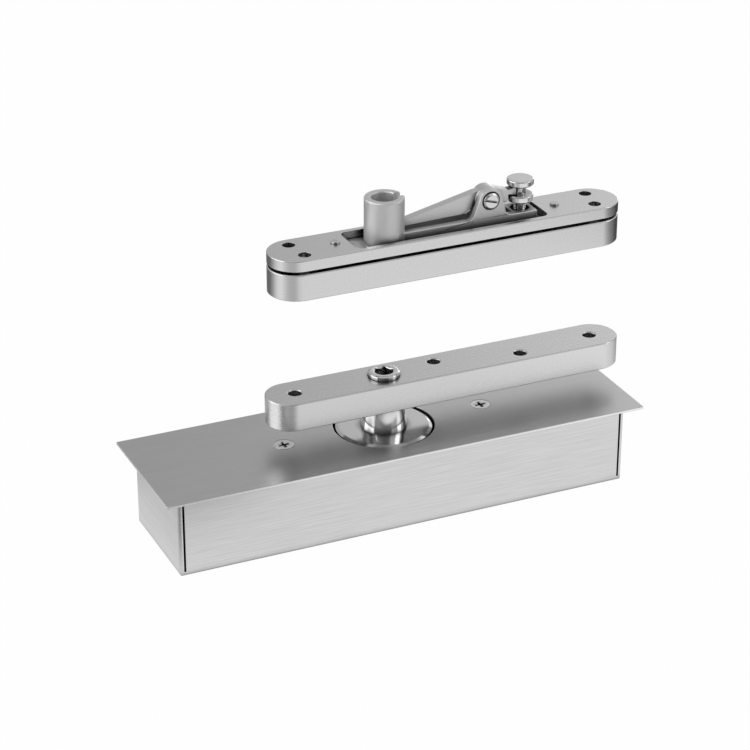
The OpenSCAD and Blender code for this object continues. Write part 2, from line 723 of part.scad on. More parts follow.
// Cast housing of the top pivot: floor with two tongues, channel, ears and pin tube
module mechanism_housing() {
    tongue_l = tongue_left - tongue_reach;
    tongue_r = tongue_right + tongue_reach;
    wall = (channel_w - channel_in) / 2;
    block_x = spool_x - spool_d / 2 + 1;
    color("darkgray") difference() {
        union() {
            difference() {
                union() {
                    translate([0, 0, frame_z]) linear_extrude(floor_t)
                        tongue_outline(tongue_w, tongue_l, tongue_r);
                    translate([0, -channel_w / 2, frame_z])
                        cube([channel_end, channel_w, channel_top - frame_z]);
                    translate([beam_pivot_x, -channel_w / 2 + wall, pivot_z]) rotate([90, 0, 0])
                        linear_extrude(wall) ear_outline(ear_r, ear_foot_left, ear_foot_right);
                    translate([beam_pivot_x, channel_w / 2, pivot_z]) rotate([90, 0, 0])
                        linear_extrude(wall) ear_outline(far_ear_r, far_foot, far_foot);
                }
                translate([0, -channel_in / 2, floor_top])
                    cube([block_x, channel_in, tube_h + frame_t]);
            }
            translate([0, 0, frame_z]) rotate_extrude() polygon([
                [0, 0], [tube_d / 2, 0], [tube_d / 2, tube_top - frame_z - tube_lip],
                [tube_d / 2 - tube_lip, tube_top - frame_z], [0, tube_top - frame_z]]);
        }
        translate([0, 0, tube_top - tube_lip])
            cylinder(d1 = bore_d, d2 = bore_d + 2 * tube_lip, h = tube_lip + skin);
        translate([0, 0, frame_z - over]) cylinder(d = bore_d, h = tube_h + frame_t + 2 * over);
        translate([0, -slot_w / 2, floor_top]) cube([tube_d, slot_w, tube_h + frame_t]);
        translate([spool_x, 0, frame_z - over])
            cylinder(d = spool_thread_d + 2 * fit, h = frame_t + channel_h + 2 * over);
        translate([spool_x, 0, channel_top - 2]) cylinder(d = boss_cup_d, h = 3);
        for (x = [tongue_left, tongue_right])
            translate([x, 0, frame_z]) sunk_hole(tongue_thread_d + 2 * fit,
                                                 tongue_thread_d + 4 + 2 * fit, floor_t);
        translate([beam_pivot_x, 0, pivot_z]) rotate([90, 0, 0]) {
            cylinder(d = beam_screw_d + 2 * fit, h = channel_w + 2 * over, center = true);
            translate([0, 0, channel_w / 2 - 0.8]) cylinder(d = beam_head_d + 1, h = 2);
        }
    }
}

// Two flat-headed screws through the tongues; their tips stand just above the plate
module tongue_screws() {
    color("gray") for (x = [tongue_left, tongue_right]) translate([x, 0, frame_z])
        rotate([180, 0, 0]) flat_screw(tongue_thread_d, tongue_thread_d + 4, frame_t + 1.4, 1);
}

// Pin that slides in the tube and carries the top of the door
module pivot_pin() {
    r = pin_d / 2;
    rise = r * tan(flare);
    color("gray") difference() {
        translate([0, 0, pin_low]) rotate_extrude()
            polygon([[0, 0], [r - 1.5, 0], [r, 1.5], [r, pin_top - pin_low - 0.8],
                     [r - 0.8, pin_top - pin_low], [0, pin_top - pin_low]]);
        translate([0, pin_slot_w / 2, tip_z]) rotate([90, 0, 0]) linear_extrude(pin_slot_w)
            union() {
                circle(r = pin_slot_r);
                translate([-1.2, 0]) circle(r = pin_slot_r);
                translate([-1.2, -pin_slot_r]) square([1.2, 2 * pin_slot_r]);
                polygon([[0, -pin_slot_r], [r + over, -pin_slot_r - rise],
                         [r + over, pin_slot_r + rise], [0, pin_slot_r]]);
            }
    }
}

// Side view of the beam without its hub: tip, taper, deep part and the pad at the spool
module beam_outline() {
    hub_x = beam_pivot_x;
    beside_tube = tube_d / 2 + 1.6;
    belly_x = 15;                              // start of the deep part, before the pivot
    neck_x = 9;                                // lower edge's last corner before the pivot
    neck_drop = 4.6;                           // that corner below the pivot
    crown_x = 8;                               // upper edge's last corner before the pivot
    crown_rise = 4.7;                          // that corner above the pivot
    translate([0, tip_z]) circle(r = beam_tip_r);
    polygon([[0, tip_z - beam_tip_r], [beside_tube, frame_top + beam_fall],
             [hub_x - belly_x, frame_top + beam_fall + 0.9], [hub_x - neck_x, pivot_z - neck_drop],
             [hub_x, pivot_z - beam_hub_r + 1], [hub_x, pivot_z + beam_hub_r - 1],
             [hub_x - crown_x, pivot_z + crown_rise], [beside_tube, frame_top + beam_rise],
             [0, tip_z + beam_tip_r]]);
    polygon([[hub_x, pivot_z - beam_hub_r + 1], [lever_end - 1, pivot_z - neck_drop],
             [lever_end, pivot_z - 3.6], [lever_end, pad_z + pad_r - 0.9],
             [lever_end - 1.2, pad_z + pad_r - 0.2],
             [hub_x + 3, pivot_z + beam_hub_r - 1.3], [hub_x, pivot_z + beam_hub_r - 1]]);
    polygon([[lever_end - 2, pad_z - pad_r + 1], [pad_x, pad_z - pad_r],
             [pad_x, pad_z + pad_r], [lever_end - 2, pad_z + pad_r - 1.4]]);
    translate([pad_x, pad_z]) circle(r = pad_r);
}

// Lever that turns on the ear: its tip lifts the pin when its other end is pressed down
module walking_beam() {
    color("darkgray") difference() {
        union() {
            translate([0, beam_w / 2, 0]) rotate([90, 0, 0]) linear_extrude(beam_w) beam_outline();
            translate([beam_pivot_x, hub_w / 2, pivot_z]) rotate([90, 0, 0])
                cylinder(r = beam_hub_r, h = hub_w);
        }
        translate([spool_x, 0, groove_z - 3])
            cylinder(d = spool_waist_d + 1, h = spool_groove + 6);
        translate([beam_pivot_x, 0, pivot_z]) rotate([90, 0, 0])
            cylinder(d = beam_screw_d + 2 * fit, h = hub_w + 2 * over, center = true);
    }
}

// Slotted shoulder screw on which the beam turns
module beam_screw() {
    face = channel_w / 2;
    color("white") translate([beam_pivot_x, 0, pivot_z]) rotate([90, 0, 0]) difference() {
        union() {
            translate([0, 0, -face]) cylinder(d = beam_screw_d, h = 2 * face - 0.8);
            translate([0, 0, face - 0.8]) cylinder(d = beam_head_d, h = 1.4);
            translate([0, 0, face + 0.6])
                cylinder(d1 = beam_head_d, d2 = beam_head_d - 2, h = 0.8);
        }
        rotate(beam_slot_turn) translate([-beam_head_d, -beam_slot_w / 2, face + 0.2])
            cube([2 * beam_head_d, beam_slot_w, 3]);
    }
}

// Spool-shaped screw: two discs with a groove for the beam, and a thread below
module adjusting_screw() {
    r = spool_d / 2;
    w = spool_waist_d / 2;
    t = spool_thread_d / 2;
    g = spool_groove;
    color("white") translate([spool_x, 0, 0]) difference() {
        rotate_extrude() polygon([
            [0, spool_end], [t - 0.8, spool_end], [t, spool_end + 0.8], [t, spool_low_z - 0.6],
            [t + 1.2, spool_low_z], [r - 0.6, spool_low_z], [r, spool_low_z + 0.6],
            [r, groove_z - 0.6], [r - 0.6, groove_z], [w, groove_z], [w - 0.3, groove_z + g * 0.25],
            [w - 0.6, groove_z + g * 0.7], [w - 0.2, groove_z + g], [r - 0.9, groove_z + g],
            [r, groove_z + g + 0.9], [r, spool_top_z - 0.6], [r - 0.6, spool_top_z],
            [0, spool_top_z]]);
        translate([-t - 1, -0.7, spool_end - over]) cube([2 * t + 2, 1.4, over + 1.6]);
    }
}

cement_case();
cover_plate();
cover_screws();
bearing_housing();
levelling_screws();
clamp_studs();
clamp_washers();
clamp_nuts();
thrust_race_lower();
thrust_balls();
ball_cage();
thrust_race_upper();
radial_bush();
bearing_cap();
cap_screws();
seal_ring();
spindle();
bottom_arm();
arm_screw();
door_plate();
door_bush();
wear_washer();
frame_plate();
mechanism_housing();
tongue_screws();
pivot_pin();
walking_beam();
beam_screw();
adjusting_screw();
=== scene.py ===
"""Looks of a centre-hung door pivot set: finishes, fine meshes, studio light and camera."""

import json
import logging
import math
from dataclasses import dataclass, field
from enum import Enum
from typing import ClassVar

import bmesh
import bpy
from mathutils import Matrix, Vector


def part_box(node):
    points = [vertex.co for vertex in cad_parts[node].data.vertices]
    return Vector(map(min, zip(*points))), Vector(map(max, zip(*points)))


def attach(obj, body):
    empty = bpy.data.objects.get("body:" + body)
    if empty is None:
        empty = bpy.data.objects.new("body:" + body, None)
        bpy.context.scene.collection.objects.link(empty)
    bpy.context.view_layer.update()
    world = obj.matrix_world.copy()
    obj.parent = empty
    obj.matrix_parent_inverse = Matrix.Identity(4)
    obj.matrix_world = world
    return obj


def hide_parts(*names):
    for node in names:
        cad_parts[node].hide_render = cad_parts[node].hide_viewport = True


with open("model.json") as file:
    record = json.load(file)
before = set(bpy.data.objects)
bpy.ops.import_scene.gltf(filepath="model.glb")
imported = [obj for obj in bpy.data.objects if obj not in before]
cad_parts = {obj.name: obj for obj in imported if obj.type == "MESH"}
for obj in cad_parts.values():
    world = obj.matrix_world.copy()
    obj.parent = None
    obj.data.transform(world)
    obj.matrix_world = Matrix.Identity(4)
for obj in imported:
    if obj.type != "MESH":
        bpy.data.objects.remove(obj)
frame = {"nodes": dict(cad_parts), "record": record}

LOG = logging.getLogger("door_pivot")
MM = 0.001
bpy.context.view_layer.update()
IMAGE_SIDE = 750


class Grain(Enum):
    """How a surface was worked, which decides its fine texture."""

    BRUSHED = "brushed"
    TURNED = "turned"
    CAST = "cast"
    PLAIN = "plain"


USUAL_FINENESS = {
    Grain.BRUSHED: 2600.0,
    Grain.TURNED: 4000.0,
    Grain.CAST: 1600.0,
    Grain.PLAIN: 800.0,
}


@dataclass(frozen=True)
class Finish:
    """One finish of the set.

    Args:
        slot: The record's material slot.
        tone: Linear grey or colour of the bare surface.
        roughness: Mean roughness.
        grain: How the surface was worked.
        tone_swing: Share by which the grain changes the tone.
        rough_swing: Amount by which the grain changes the roughness.
        fineness: Grains per metre, or zero for what is usual with that grain.
        depth: Depth of the grain's relief in metres.
        metallic: One for metal, zero for rubber and plastic.
        edge_wear_and_highlight: Share by which edges are paler than the faces: worn, and with a
            painted highlight.
        upright: Share of the tone on upright faces, above one for a painted highlight on them.
        below: Share of the tone that is left on faces that look down, as painted shade.
        painted_recess_shade: Share of the tone that a closed recess loses to painted shade, above
            one to darken it sooner.
    """

    slot: str
    tone: tuple[float, float, float]
    roughness: float
    grain: Grain = Grain.BRUSHED
    tone_swing: float = 0.06
    rough_swing: float = 0.05
    fineness: float = 0.0
    depth: float = 2.0e-6
    metallic: float = 1.0
    edge_wear_and_highlight: float = 0.1
    upright: float = 1.0
    below: float = 1.0
    painted_recess_shade: float = 0.0


def grey(value: float) -> tuple[float, float, float]:
    """A neutral colour of the given linear value."""
    return (value, value, value)


# In these finishes, wear above the usual 0.1 paints a highlight on edges; upright above one
# paints a highlight on upright faces; below under one paints shade on undersides; and cavity
# paints shade in recesses and close under other parts.
FINISHES = (
    Finish("case_steel", grey(0.7), 0.34, tone_swing=0.25, rough_swing=0.1, fineness=1100.0,
           painted_recess_shade=0.7),
    Finish("cover_satin", grey(0.58), 0.36, tone_swing=0.12, fineness=1300.0, edge_wear_and_highlight=0.3,
           upright=1.5),
    Finish("screw_bright", grey(0.74), 0.22, Grain.TURNED, tone_swing=0.04, painted_recess_shade=1.5),
    Finish("cast_iron", grey(0.09), 0.6, Grain.CAST, metallic=0.6, depth=4.0e-5),
    Finish("screw_dark", grey(0.6), 0.26, Grain.TURNED, painted_recess_shade=0.9),
    Finish("zinc_steel", grey(0.56), 0.3, Grain.TURNED),
    Finish("race_steel", grey(0.55), 0.2, Grain.TURNED),
    Finish("ball_steel", grey(0.7), 0.06, Grain.PLAIN),
    Finish("cage_brass", (0.72, 0.52, 0.22), 0.3, Grain.TURNED),
    Finish("bush_bronze", (0.5, 0.31, 0.15), 0.42, Grain.TURNED),
    Finish("seal_rubber", grey(0.018), 0.65, Grain.PLAIN, metallic=0.0, edge_wear_and_highlight=0.0),
    Finish("spindle_polished", grey(0.74), 0.13, Grain.TURNED, tone_swing=0.03,
           rough_swing=0.02, painted_recess_shade=1.5),
    Finish("arm_satin", grey(0.68), 0.27, tone_swing=0.05, edge_wear_and_highlight=0.25, below=0.75, painted_recess_shade=0.9),
    Finish("top_satin", grey(0.7), 0.27, tone_swing=0.05, edge_wear_and_highlight=0.25, painted_recess_shade=0.95),
    Finish("washer_plastic", grey(0.78), 0.5, Grain.PLAIN, metallic=0.0, edge_wear_and_highlight=0.0),
    Finish("cast_satin", grey(0.7), 0.56, Grain.CAST, depth=1.2e-5, edge_wear_and_highlight=0.35, painted_recess_shade=1.15),
    Finish("pin_steel", grey(0.3), 0.28, Grain.TURNED),
    Finish("beam_satin", grey(0.68), 0.38, Grain.CAST, depth=1.0e-5, edge_wear_and_highlight=0.3, painted_recess_shade=0.8),
    Finish("spool_polished", grey(0.74), 0.09, Grain.TURNED, tone_swing=0.03,
           rough_swing=0.02, painted_recess_shade=0.7),
)


@dataclass(frozen=True)
class Fade:
    """A level that changes over a stretch and stays even on both sides of it.

    Args:
        start: Value at which the change starts.
        end: Value at which it ends.
        first: Level at the start and before it.
        last: Level at the end and past it.
    """

    start: float
    end: float
    first: float
    last: float


class NodeTree:
    """Short calls that add and join the nodes of one tree."""

    def __init__(self, tree: bpy.types.NodeTree) -> None:
        """Keep the tree.

        Args:
            tree: A material's or a world's tree, or a node group.
        """
        self.tree = tree

    def add(self, kind: str, **settings: object) -> bpy.types.Node:
        """Add a node.

        Args:
            kind: Type name of the node.
            settings: Properties of the node.

        Returns:
            The new node.
        """
        node = self.tree.nodes.new(kind)
        for name, value in settings.items():
            setattr(node, name, value)
        return node

    def join(self, source: bpy.types.NodeSocket, target: bpy.types.NodeSocket) -> None:
        """Link one output to one input."""
        self.tree.links.new(source, target)

    def split(self, vector: bpy.types.NodeSocket) -> bpy.types.Node:
        """Split a vector into its three parts.

        Args:
            vector: Socket with the vector.

        Returns:
            The node, with the outputs X, Y and Z.
        """
        node = self.add("ShaderNodeSeparateXYZ")
        self.join(vector, node.inputs[0])
        return node

    def math(self, operation: str, first: object, second: object = None) -> bpy.types.NodeSocket:
        """Add a math node.

        Args:
            operation: Name of the operation.
            first: Socket or number.
            second: Socket or number, if the operation has two.

        Returns:
            The node's output.
        """
        node = self.add("ShaderNodeMath", operation=operation)
        for place, value in enumerate((first, second)):
            if isinstance(value, bpy.types.NodeSocket):
                self.join(value, node.inputs[place])
            elif value is not None:
                node.inputs[place].default_value = value
        return node.outputs[0]

    def fade(self, value: bpy.types.NodeSocket, fade: Fade) -> bpy.types.NodeSocket:
        """Let a level change with a value.

        Args:
            value: Socket with the value.
            fade: The change.

        Returns:
            The level.
        """
        node = self.add("ShaderNodeMapRange")
        node.inputs["From Min"].default_value = fade.start
        node.inputs["From Max"].default_value = fade.end
        node.inputs["To Min"].default_value = fade.first
        node.inputs["To Max"].default_value = fade.last
        self.join(value, node.inputs["Value"])
        return node.outputs[0]

    def around(
        self, value: bpy.types.NodeSocket, middle: float, swing: float
    ) -> bpy.types.NodeSocket:
        """Let a level swing evenly to both sides as a value goes from 0 to 1.

        Args:
            value: Socket that runs from 0 to 1.
            middle: Level in the middle.
            swing: Change of the level to each side.

        Returns:
            The level.
        """
        return self.fade(value, Fade(0.0, 1.0, middle - swing, middle + swing))


def new_group(
    name: str, inputs: dict[str, float], outputs: tuple[str, ...]
) -> tuple[bpy.types.NodeTree, NodeTree, bpy.types.Node, bpy.types.Node]:
    """Start a shader node group of numbers.

    Args:
        name: The group's name.
        inputs: Name and starting value of each number that goes in.
        outputs: Name of each number that comes out.

    Returns:
        The group, its helper, and its input and output nodes.
    """
    group = bpy.data.node_groups.new(name, "ShaderNodeTree")
    for label, value in inputs.items():
        socket = group.interface.new_socket(label, in_out="INPUT", socket_type="NodeSocketFloat")
        socket.default_value = value
    for label in outputs:
        group.interface.new_socket(label, in_out="OUTPUT", socket_type="NodeSocketFloat")
    tree = NodeTree(group)
    return group, tree, tree.add("NodeGroupInput"), tree.add("NodeGroupOutput")


def new_material(name: str) -> tuple[bpy.types.Material, NodeTree, bpy.types.Node]:
    """Start a material with nothing in it but its output.

    Args:
        name: The material's name.

    Returns:
        The material, its tree's helper and its output node.
    """
    material = bpy.data.materials.new(name)
    material.use_nodes = True
    material.node_tree.nodes.clear()
    tree = NodeTree(material.node_tree)
    return material, tree, tree.add("ShaderNodeOutputMaterial")


@dataclass(frozen=True)
class BrushedGrain:
    """Fine parallel scratches that run along a piece.

    Args:
        run: Changes per metre along the scratches.
        detail: Number of finer layers in the pattern.
        roughness: Strength of each finer layer.
        level_face: Upward part of the normal above which a face counts as level.
    """

    run: float = 30.0
    detail: float = 4.0
    roughness: float = 0.65
    level_face: float = 0.7

    def build(self) -> bpy.types.NodeTree:
        """Build the shared group.

        Returns:
            A group with the inputs Fineness and Run, and the output Grain from 0 to 1.
        """
        group, tree, given, out = new_group(
            "brushed_grain",
            {"Fineness": USUAL_FINENESS[Grain.BRUSHED], "Run": self.run},
            ("Grain",),
        )
        facing = tree.add("ShaderNodeNewGeometry")
        up = tree.split(facing.outputs["Normal"]).outputs["Z"]
        is_level = tree.math("GREATER_THAN", tree.math("ABSOLUTE", up), self.level_face)
        place = tree.split(tree.add("ShaderNodeTexCoord").outputs["Object"])
        mix = tree.add("ShaderNodeMix", data_type="FLOAT")
        tree.join(is_level, mix.inputs["Factor"])
        tree.join(self.scratches(tree, given, place, "Z"), mix.inputs["A"])
        tree.join(self.scratches(tree, given, place, "Y"), mix.inputs["B"])
        tree.join(mix.outputs["Result"], out.inputs["Grain"])
        return group

    def scratches(
        self, tree: NodeTree, given: bpy.types.Node, place: bpy.types.Node, across: str
    ) -> bpy.types.NodeSocket:
        """Draw scratches that follow each other quickly along one axis only.

        Args:
            tree: The group's tree.
            given: The group's input node.
            place: Node with the three parts of the place on the piece.
            across: The axis across the scratches.

        Returns:
            The pattern from 0 to 1.
        """
        stretched = tree.add("ShaderNodeCombineXYZ")
        for axis in "XYZ":
            rate = given.outputs["Fineness"] if axis == across else given.outputs["Run"]
            tree.join(tree.math("MULTIPLY", place.outputs[axis], rate), stretched.inputs[axis])
        noise = tree.add("ShaderNodeTexNoise", noise_dimensions="3D")
        noise.inputs["Scale"].default_value = 1.0
        noise.inputs["Detail"].default_value = self.detail
        noise.inputs["Roughness"].default_value = self.roughness
        tree.join(stretched.outputs[0], noise.inputs["Vector"])
        return noise.outputs["Fac"]


@dataclass(frozen=True)
class SpeckledGrain:
    """Fine even speckle, as turning, blasting or casting leaves it.

    Args:
        detail: Number of finer layers in the pattern.
    """

    detail: float = 3.0

    def build(self) -> bpy.types.NodeTree:
        """Build the shared group.

        Returns:
            A group with the input Fineness and the output Grain from 0 to 1.
        """
        group, tree, given, out = new_group(
            "speckle", {"Fineness": USUAL_FINENESS[Grain.CAST]}, ("Grain",)
        )
        place = tree.add("ShaderNodeTexCoord")
        noise = tree.add("ShaderNodeTexNoise", noise_dimensions="3D")
        noise.inputs["Detail"].default_value = self.detail
        tree.join(given.outputs["Fineness"], noise.inputs["Scale"])
        tree.join(place.outputs["Object"], noise.inputs["Vector"])
        tree.join(noise.outputs["Fac"], out.inputs["Grain"])
        return group


@dataclass(frozen=True)
class EdgeWearAndPaintedLight:
    """Paler edges, partly worn and partly a painted highlight, a painted highlight on upright
    faces, and painted shade on undersides and in recesses.

    Args:
        rim: Reach of the paler edges, worn and with a painted highlight, in metres.
        rim_samples: Number of rays that feel for an edge.
        rim_gain: How soon a bend in the surface counts as an edge.
        upright_face: Upward part of the normal below which a face counts as upright, for the
            painted highlight on upright faces.
        under_face: Upward part of the normal below which a face looks down and gets painted
            shade.
        hollow: Distance in metres within which other surfaces close a recess.
        hollow_samples: Number of rays that feel for a recess.
        closing: How much painted shade a recess gets with its open share.
        least: Share of the tone that the deepest recess keeps.
    """

    rim: float = 0.35 * MM
    rim_samples: int = 6
    rim_gain: float = 6.0
    upright_face: float = 0.3
    under_face: float = -0.7
    hollow: float = 7.0 * MM
    hollow_samples: int = 8
    closing: Fade = Fade(0.2, 0.85, 1.0, 0.0)
    least: float = 0.03

    def build(self) -> bpy.types.NodeTree:
        """Build the shared group.

        Returns:
            A group with the inputs Level, Wear, Upright, Below and Cavity, and the output Level.
        """
        group, tree, given, out = new_group(
            "edge_wear_and_painted_light",
            {"Level": 1.0, "Edge Wear And Highlight": 0.1, "Upright": 1.0, "Below": 1.0, "Painted Recess Shade": 0.0},
            ("Level",),
        )
        facing = tree.add("ShaderNodeNewGeometry").outputs["Normal"]
        up = tree.split(facing).outputs["Z"]
        # Paler edges: worn edges together with a painted highlight.
        paler = tree.math("MULTIPLY", self.edge(tree, facing), given.outputs["Edge Wear And Highlight"])
        level = tree.math("ADD", given.outputs["Level"], paler)
        # Painted shade on faces that look down.
        is_under = tree.math("LESS_THAN", up, self.under_face)
        lost = tree.math("MULTIPLY", is_under, tree.math("SUBTRACT", 1.0, given.outputs["Below"]))
        level = tree.math("MULTIPLY", level, tree.math("SUBTRACT", 1.0, lost))
        # Painted highlight on upright faces.
        is_upright = tree.math("LESS_THAN", tree.math("ABSOLUTE", up), self.upright_face)
        more = tree.math("SUBTRACT", given.outputs["Upright"], 1.0)
        more = tree.math("MULTIPLY", is_upright, more)
        level = tree.math("MULTIPLY", level, tree.math("ADD", more, 1.0))
        # Painted shade in recesses and close under or between parts.
        dark = tree.math("MULTIPLY", self.recess(tree), given.outputs["Painted Recess Shade"])
        kept = tree.math("MAXIMUM", tree.math("SUBTRACT", 1.0, dark), self.least)
        tree.join(tree.math("MULTIPLY", level, kept), out.inputs["Level"])
        return group

    def edge(self, tree: NodeTree, facing: bpy.types.NodeSocket) -> bpy.types.NodeSocket:
        """Find the edges, where a rounded surface would turn away from the real one; they are
        made paler, as worn edges and as a painted highlight.

        Args:
            tree: The group's tree.
            facing: The surface's normal.

        Returns:
            A mask, which is 1 at an edge.
        """
        rounded = tree.add("ShaderNodeBevel", samples=self.rim_samples)
        rounded.inputs["Radius"].default_value = self.rim
        alike = tree.add("ShaderNodeVectorMath", operation="DOT_PRODUCT")
        tree.join(rounded.outputs[0], alike.inputs[0])
        tree.join(facing, alike.inputs[1])
        turned = tree.math("SUBTRACT", 1.0, alike.outputs["Value"])
        return tree.math("MINIMUM", tree.math("MULTIPLY", turned, self.rim_gain), 1.0)

    def recess(self, tree: NodeTree) -> bpy.types.NodeSocket:
        """Find the recesses, where other surfaces stand close in front, which get painted shade.

        Args:
            tree: The group's tree.

        Returns:
            A mask, which is 1 in a closed recess.
        """
        hollow = tree.add(
            "ShaderNodeAmbientOcclusion", samples=self.hollow_samples, only_local=False
        )
        hollow.inputs["Distance"].default_value = self.hollow
        return tree.fade(hollow.outputs["AO"], self.closing)


class Finisher:
    """Makes each material once, from its finish and the shared groups."""

    def __init__(self) -> None:
        """Build the shared groups."""
        self.brushed = BrushedGrain().build()
        self.speckled = SpeckledGrain().build()
        self.shade = EdgeWearAndPaintedLight().build()
        self.finishes = {finish.slot: finish for finish in FINISHES}
        self.made: dict[str, bpy.types.Material] = {}

    def material(self, slot: str) -> bpy.types.Material:
        """Make the material of a slot.

        Args:
            slot: The record's material slot.

        Returns:
            The material, which is made only once.
        """
        if slot in self.made:
            return self.made[slot]
        finish = self.finishes[slot]
        material, tree, output = new_material(slot)
        shader = tree.add("ShaderNodeBsdfPrincipled")
        tree.join(shader.outputs[0], output.inputs["Surface"])
        shader.inputs["Metallic"].default_value = finish.metallic
        grain = self.grain(tree, finish)
        self.tone(tree, finish, grain, shader)
        rough = tree.around(grain, finish.roughness, finish.rough_swing)
        tree.join(rough, shader.inputs["Roughness"])
        relief = tree.add("ShaderNodeBump")
        relief.inputs["Distance"].default_value = finish.depth
        tree.join(grain, relief.inputs["Height"])
        tree.join(relief.outputs[0], shader.inputs["Normal"])
        self.made[slot] = material
        return material

    def grain(self, tree: NodeTree, finish: Finish) -> bpy.types.NodeSocket:
        """Place the group that fits how the surface was worked.

        Args:
            tree: The material's tree.
            finish: The finish.

        Returns:
            The grain's value from 0 to 1.
        """
        node = tree.add("ShaderNodeGroup")
        node.node_tree = self.brushed if finish.grain is Grain.BRUSHED else self.speckled
        node.inputs["Fineness"].default_value = finish.fineness or USUAL_FINENESS[finish.grain]
        return node.outputs["Grain"]

    def tone(
        self,
        tree: NodeTree,
        finish: Finish,
        grain: bpy.types.NodeSocket,
        shader: bpy.types.Node,
    ) -> None:
        """Colour the surface: its tone, changed by grain, by paler edges that are worn and
        painted as a highlight, by a painted highlight on upright faces, and by painted shade on
        undersides and in recesses.

        Args:
            tree: The material's tree.
            finish: The finish.
            grain: The grain's value.
            shader: The node whose base colour is set.
        """
        shade = tree.add("ShaderNodeGroup")
        shade.node_tree = self.shade
        tree.join(tree.around(grain, 1.0, finish.tone_swing), shade.inputs["Level"])
        # Paler edges (worn and a painted highlight), a painted highlight on upright faces,
        # painted shade on undersides and in recesses.
        shade.inputs["Edge Wear And Highlight"].default_value = finish.edge_wear_and_highlight
        shade.inputs["Upright"].default_value = finish.upright
        shade.inputs["Below"].default_value = finish.below
        shade.inputs["Painted Recess Shade"].default_value = finish.painted_recess_shade
        colour = tree.add("ShaderNodeVectorMath", operation="SCALE")
        colour.inputs[0].default_value = finish.tone
        tree.join(shade.outputs["Level"], colour.inputs["Scale"])
        tree.join(colour.outputs[0], shader.inputs["Base Color"])


@dataclass(frozen=True)
class PhotoCamera:
    """The camera that took the photograph, solved from the object's edges.

    Args:
        place_mm: Where it stands.
        yaw: Turn to the right of straight ahead, in radians.
        pitch: Tilt downward in radians.
        roll: Turn about its own axis in radians.
        focal_px: Focal length in pixels of the photograph.
        sensor_mm: Width of the film.
        near: Least distance in metres at which it sees.
        far: Greatest distance in metres at which it sees.
    """

    place_mm: tuple[float, float, float] = (-531.18, -1158.61, 700.56)
    yaw: float = 0.426
    pitch: float = 0.453
    roll: float = 0.001
    focal_px: float = 2521.37
    sensor_mm: float = 36.0
    near: float = 0.05
    far: float = 30.0

    def build(self) -> bpy.types.Object:
        """Make the camera.

        Returns:
            The camera, which is also the scene's camera.
        """
        data = bpy.data.cameras.new("photo_camera")
        data.sensor_width = self.sensor_mm
        data.lens = self.focal_px / IMAGE_SIDE * self.sensor_mm
        data.clip_start = self.near
        data.clip_end = self.far
        camera = bpy.data.objects.new("photo_camera", data)
        camera.matrix_world = Matrix.Translation(Vector(self.place_mm) * MM) @ self.turn()
        bpy.context.scene.collection.objects.link(camera)
        bpy.context.scene.camera = camera
        return camera

    def turn(self) -> Matrix:
        """Work out how the camera is turned.

        Returns:
            The rotation.
        """
        ahead = Vector((
            math.sin(self.yaw) * math.cos(self.pitch),
            math.cos(self.yaw) * math.cos(self.pitch),
            -math.sin(self.pitch),
        ))
        level = Vector((math.cos(self.yaw), -math.sin(self.yaw), 0.0))
        upward = level.cross(ahead)
        right = math.cos(self.roll) * level + math.sin(self.roll) * upward
        up = math.cos(self.roll) * upward - math.sin(self.roll) * level
        return Matrix((right, up, -ahead)).transposed().to_4x4()


@dataclass(frozen=True)
class Softbox:
    """A soft studio lamp that is aimed at a point.

    Args:
        name: Name of the lamp.
        place: Where it stands, in metres.
        size: Width and height in metres.
        power: Power in watts.
        target: The point it is aimed at.
    """

    name: str
    place: tuple[float, float, float]
    size: tuple[float, float]
    power: float
    target: tuple[float, float, float] = (0.0, 0.0, 0.08)

    def build(self) -> bpy.types.Object:
        """Make the lamp and aim it.

        Returns:
            The lamp.
        """
        data = bpy.data.lights.new(self.name, "AREA")
        data.shape = "RECTANGLE"
        data.size, data.size_y = self.size
        data.energy = self.power
        lamp = bpy.data.objects.new(self.name, data)
        lamp.location = self.place
        aim = Vector(self.target) - Vector(self.place)
        lamp.rotation_euler = aim.to_track_quat("-Z", "Y").to_euler()
        bpy.context.scene.collection.objects.link(lamp)
        return lamp


@dataclass(frozen=True)
class Card:
    """An upright card that only reflections see, with a glow that changes along its width.

    Args:
        name: Name of the card.
        left: Floor point of its left end.
        right: Floor point of its right end.
        low: Height of its lower edge.
        high: Height of its upper edge.
        glow: Brightness over the shares of its width, from 0 at the left to 1 at the right.
    """

    ACROSS: ClassVar[str] = "across"

    name: str
    left: tuple[float, float]
    right: tuple[float, float]
    low: float
    high: float
    glow: Fade

    def build(self) -> bpy.types.Object:
        """Make the card.

        Returns:
            The card.
        """
        mesh = bpy.data.meshes.new(self.name)
        corners = [(*self.left, self.low), (*self.right, self.low),
                   (*self.right, self.high), (*self.left, self.high)]
        mesh.from_pydata(corners, [], [(0, 1, 2, 3)])
        layer = mesh.uv_layers.new(name=self.ACROSS)
        for loop, across in zip(layer.data, (0.0, 1.0, 1.0, 0.0)):
            loop.uv = (across, 0.0)
        card = bpy.data.objects.new(self.name, mesh)
        card.visible_camera = False
        card.visible_diffuse = False
        card.visible_shadow = False
        bpy.context.scene.collection.objects.link(card)
        mesh.materials.append(self.material())
        return card

    def material(self) -> bpy.types.Material:
        """Make the card's glowing material.

        Returns:
            The material.
        """
        material, tree, output = new_material(self.name)
        place = tree.add("ShaderNodeUVMap", uv_map=self.ACROSS)
        glow = tree.add("ShaderNodeEmission")
        across = tree.split(place.outputs[0]).outputs["X"]
        tree.join(tree.fade(across, self.glow), glow.inputs["Strength"])
        tree.join(glow.outputs[0], output.inputs["Surface"])
        return material


